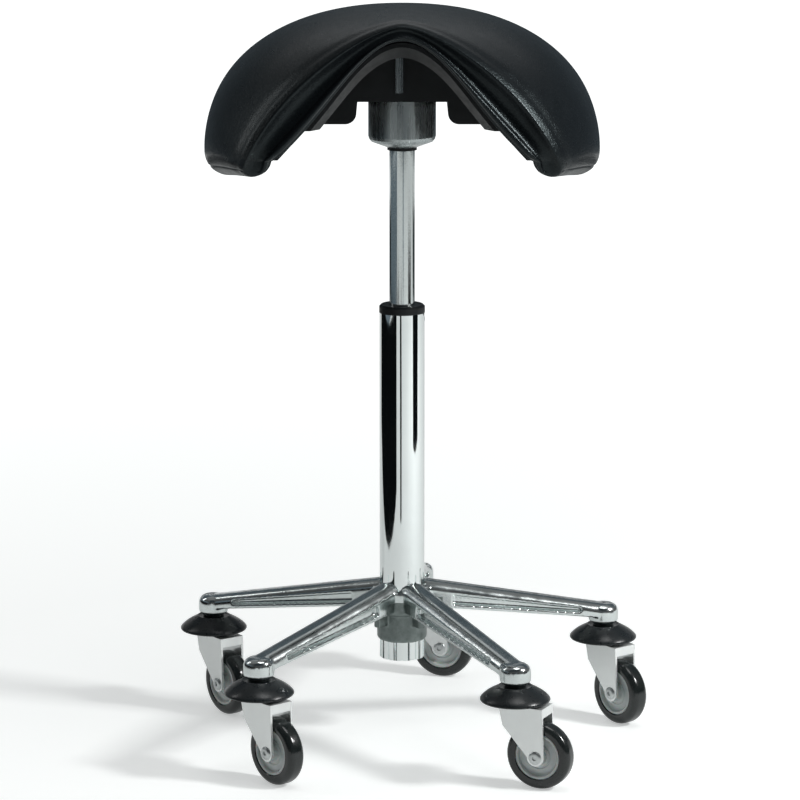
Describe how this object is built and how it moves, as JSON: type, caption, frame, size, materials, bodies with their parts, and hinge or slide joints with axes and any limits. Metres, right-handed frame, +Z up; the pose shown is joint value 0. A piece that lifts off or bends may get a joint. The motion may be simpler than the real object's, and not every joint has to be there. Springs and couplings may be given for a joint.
{
  "type": "dentist stool",
  "caption": "Saddle-seat dental stool: padded saddle on a gas-sprung column with a polished star base on swivelling castors",
  "frame": {"origin": "on the column axis at floor level, at the centre of the star base", "axes": "+Z up along the column; the rider faces -Y; +X is the rider's left"},
  "size_m": [0.5325, 0.5134, 0.8226],
  "materials": {
    "polished_alloy": "polished die casting, fine cloudy wear",
    "chrome": "bright chrome plate",
    "fork_chrome": "bright chrome plate on pressed steel",
    "brushed_steel": "fine turned steel",
    "steel": "zinc-plated steel",
    "grey_alloy": "dark satin alloy",
    "black_plastic": "moulded, fine matt grain",
    "grey_plastic": "moulded grey nylon, satin",
    "bumper_rubber": "black rubber, soft sheen",
    "rubber": "black rubber",
    "tyre": "black polyurethane, smooth tread",
    "leather": "black upholstery leather, fine grain, soft sheen"
  },
  "bodies": {
    "base": {"base_casting": "polished_alloy", "column_sleeve": "chrome", "guide_bush": "black_plastic", "bush_screw": "steel", "column_end_plate": "steel", "thrust_bearing": "steel", "buffer_washer": "rubber", "bumper_1": "bumper_rubber", "bumper_2": "bumper_rubber", "bumper_3": "bumper_rubber", "bumper_4": "bumper_rubber", "bumper_5": "bumper_rubber", "castor_stem_1": "steel", "castor_stem_2": "steel", "castor_stem_3": "steel", "castor_stem_4": "steel", "castor_stem_5": "steel"},
    "swivel_rod": {"piston_rod": "chrome", "retaining_clip": "steel", "piston": "steel"},
    "seat_unit": {"gas_cylinder": "brushed_steel", "cylinder_gland": "black_plastic", "mech_housing": "grey_alloy", "rod_collar": "black_plastic", "mount_flange": "grey_alloy", "flange_screws": "steel", "lever_pivot_pin": "steel", "saddle_cushion": "leather", "seat_pan": "black_plastic", "seat_cradle": "black_plastic", "front_strut": "brushed_steel"},
    "height_lever": {"release_lever": "chrome", "lever_grip": "black_plastic"},
    "valve_pin": {"release_pin": "steel"},
    "castor_1": {"castor_fork_1": "fork_chrome", "castor_axle_1": "steel"},
    "wheel_1": {"wheel_core_1": "grey_plastic", "tyre_1": "tyre"},
    "castor_2": {"castor_fork_2": "fork_chrome", "castor_axle_2": "steel"},
    "wheel_2": {"wheel_core_2": "grey_plastic", "tyre_2": "tyre"},
    "castor_3": {"castor_fork_3": "fork_chrome", "castor_axle_3": "steel"},
    "wheel_3": {"wheel_core_3": "grey_plastic", "tyre_3": "tyre"},
    "castor_4": {"castor_fork_4": "fork_chrome", "castor_axle_4": "steel"},
    "wheel_4": {"wheel_core_4": "grey_plastic", "tyre_4": "tyre"},
    "castor_5": {"castor_fork_5": "fork_chrome", "castor_axle_5": "steel"},
    "wheel_5": {"wheel_core_5": "grey_plastic", "tyre_5": "tyre"}
  },
  "joints": [
    {"name": "seat_swivel", "type": "hinge", "parent": "base", "child": "swivel_rod", "pos_m": [0, 0, 0.1], "axis": [0, 0, 1], "continuous": true},
    {"name": "seat_height", "type": "slide", "parent": "swivel_rod", "child": "seat_unit", "axis": [0, 0, 1], "range_m": [-0.165, 0]},
    {"name": "lever_lift", "type": "hinge", "parent": "seat_unit", "child": "height_lever", "pos_m": [0, 0.02, 0.709], "axis": [1, 0, 0], "range_deg": [0, 6]},
    {"name": "pin_travel", "type": "slide", "parent": "seat_unit", "child": "valve_pin", "axis": [0, 0, 1], "range_m": [-0.0022, 0]},
    {"name": "castor_swivel_1", "type": "hinge", "parent": "base", "child": "castor_1", "pos_m": [0.02057, 0.2351, 0.09], "axis": [0, 0, 1], "continuous": true},
    {"name": "wheel_spin_1", "type": "hinge", "parent": "castor_1", "child": "wheel_1", "pos_m": [0.04926, 0.22633, 0.0368], "axis": [0.2924, 0.9563, 0], "continuous": true},
    {"name": "castor_swivel_2", "type": "hinge", "parent": "base", "child": "castor_2", "pos_m": [-0.21724, 0.09221, 0.09], "axis": [0, 0, 1], "continuous": true},
    {"name": "wheel_spin_2", "type": "hinge", "parent": "castor_2", "child": "wheel_2", "pos_m": [-0.19961, 0.06794, 0.0368], "axis": [0.809, 0.5878, 0], "continuous": true},
    {"name": "castor_swivel_3", "type": "hinge", "parent": "base", "child": "castor_3", "pos_m": [-0.15483, -0.17811, 0.09], "axis": [0, 0, 1], "continuous": true},
    {"name": "wheel_spin_3", "type": "hinge", "parent": "castor_3", "child": "wheel_3", "pos_m": [-0.13515, -0.20075, 0.0368], "axis": [0.7547, 0.6561, 0], "continuous": true},
    {"name": "castor_swivel_4", "type": "hinge", "parent": "base", "child": "castor_4", "pos_m": [0.12155, -0.20229, 0.09], "axis": [0, 0, 1], "continuous": true},
    {"name": "wheel_spin_4", "type": "hinge", "parent": "castor_4", "child": "wheel_4", "pos_m": [0.14874, -0.21497, 0.0368], "axis": [0.4226, 0.9063, 0], "continuous": true},
    {"name": "castor_swivel_5", "type": "hinge", "parent": "base", "child": "castor_5", "pos_m": [0.22995, 0.05309, 0.09], "axis": [0, 0, 1], "continuous": true},
    {"name": "wheel_spin_5", "type": "hinge", "parent": "castor_5", "child": "wheel_5", "pos_m": [0.24883, 0.02977, 0.0368], "axis": [0.7771, 0.6293, 0], "continuous": true}
  ],
  "couplings": [
    {"joint": "pin_travel", "follows": "lever_lift", "m_per_rad": -0.02}
  ]
}
